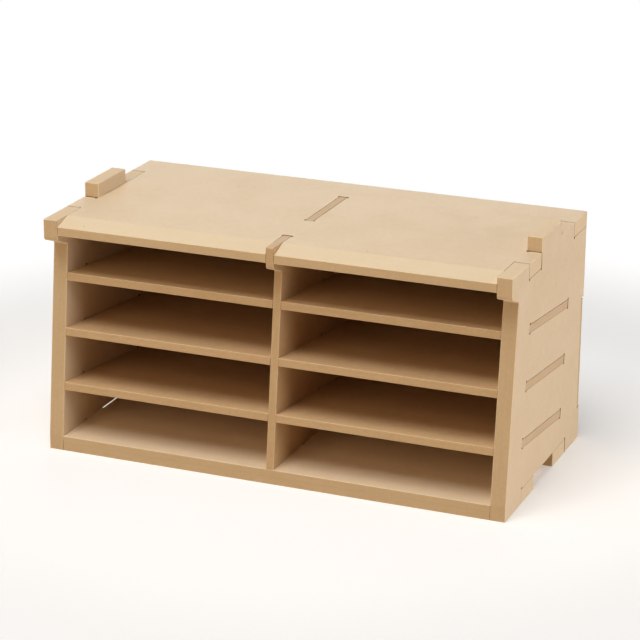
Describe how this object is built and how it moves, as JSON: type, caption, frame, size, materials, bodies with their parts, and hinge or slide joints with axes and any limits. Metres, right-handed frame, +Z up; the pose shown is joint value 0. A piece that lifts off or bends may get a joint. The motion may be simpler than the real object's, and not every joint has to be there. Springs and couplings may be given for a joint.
{
  "type": "hobby tool organizer",
  "caption": "Stackable open-shelf desktop organizer of slotted fibreboard, with sloping shelves in bays either side of a divider and a leaning front.",
  "frame": {"origin": "on the surface that the organizer stands on, under the middle of its width and depth", "axes": "+X to the right seen from the front, +Y from front to back, +Z up"},
  "size_m": [0.3, 0.149, 0.159],
  "materials": {
    "outer_board": "raw medium-density fibreboard, sanded faces and darker routed edges",
    "inner_board": "raw medium-density fibreboard, thinner stock",
    "back_board": "raw thin fibreboard"
  },
  "bodies": {
    "root": {"left_side": "outer_board", "right_side": "outer_board", "roof": "outer_board", "floor": "outer_board", "divider": "inner_board", "upper_shelf": "inner_board", "middle_shelf": "inner_board", "lower_shelf": "inner_board", "back": "back_board"}
  },
  "joints": []
}
